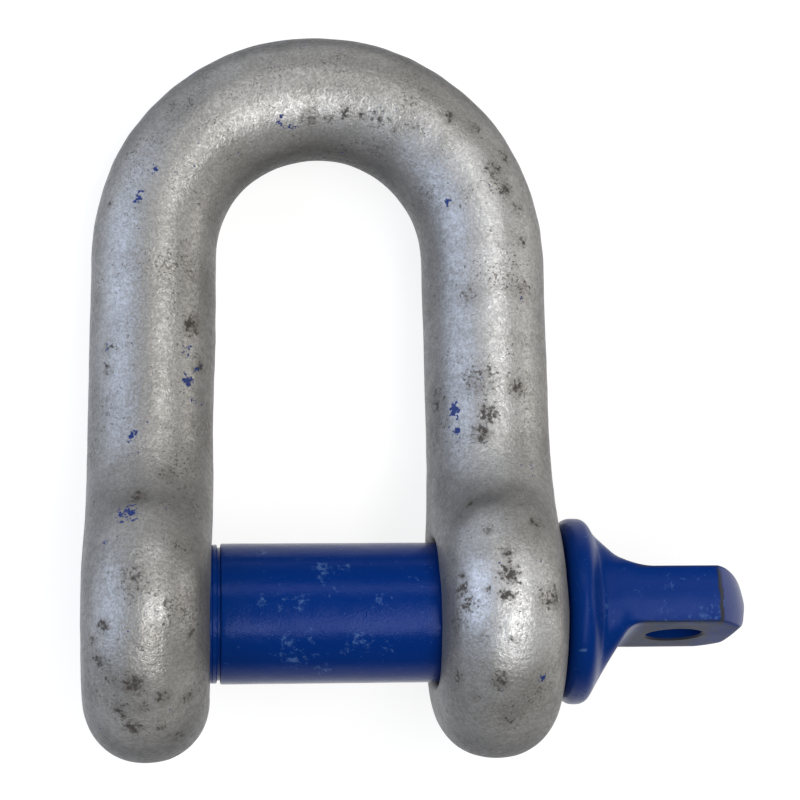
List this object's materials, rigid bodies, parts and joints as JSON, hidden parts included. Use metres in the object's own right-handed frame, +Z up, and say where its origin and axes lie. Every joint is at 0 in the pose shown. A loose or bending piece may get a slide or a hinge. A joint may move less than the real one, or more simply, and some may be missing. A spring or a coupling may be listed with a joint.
{
  "type": "screw pin chain shackle",
  "caption": "Forged dee-shaped chain joining shackle with a round bar bow, two eyes and a collared screw pin with a flattened, drilled tab head.",
  "frame": {"origin": "middle of the resting footprint at its lowest level, as the shackle lies on both eye rims and its crown", "axes": "+X along the pin from the threaded eye to the tab head, +Y from the pin to the crown, +Z up from the surface it lies on"},
  "size_m": [0.1334, 0.1478, 0.0586],
  "materials": {
    "galvanised_steel": "hot-dip galvanised forging, satin, spotted and scuffed",
    "blue_paint": "satin blue paint on forged and turned steel, scuffed"
  },
  "bodies": {
    "bow": {"bow": "galvanised_steel"},
    "pin": {"screw_pin": "blue_paint"}
  },
  "joints": [
    {"name": "pin_withdraw", "type": "slide", "parent": "bow", "child": "pin", "axis": [1, 0, 0], "range_m": [0, 0.1]}
  ]
}
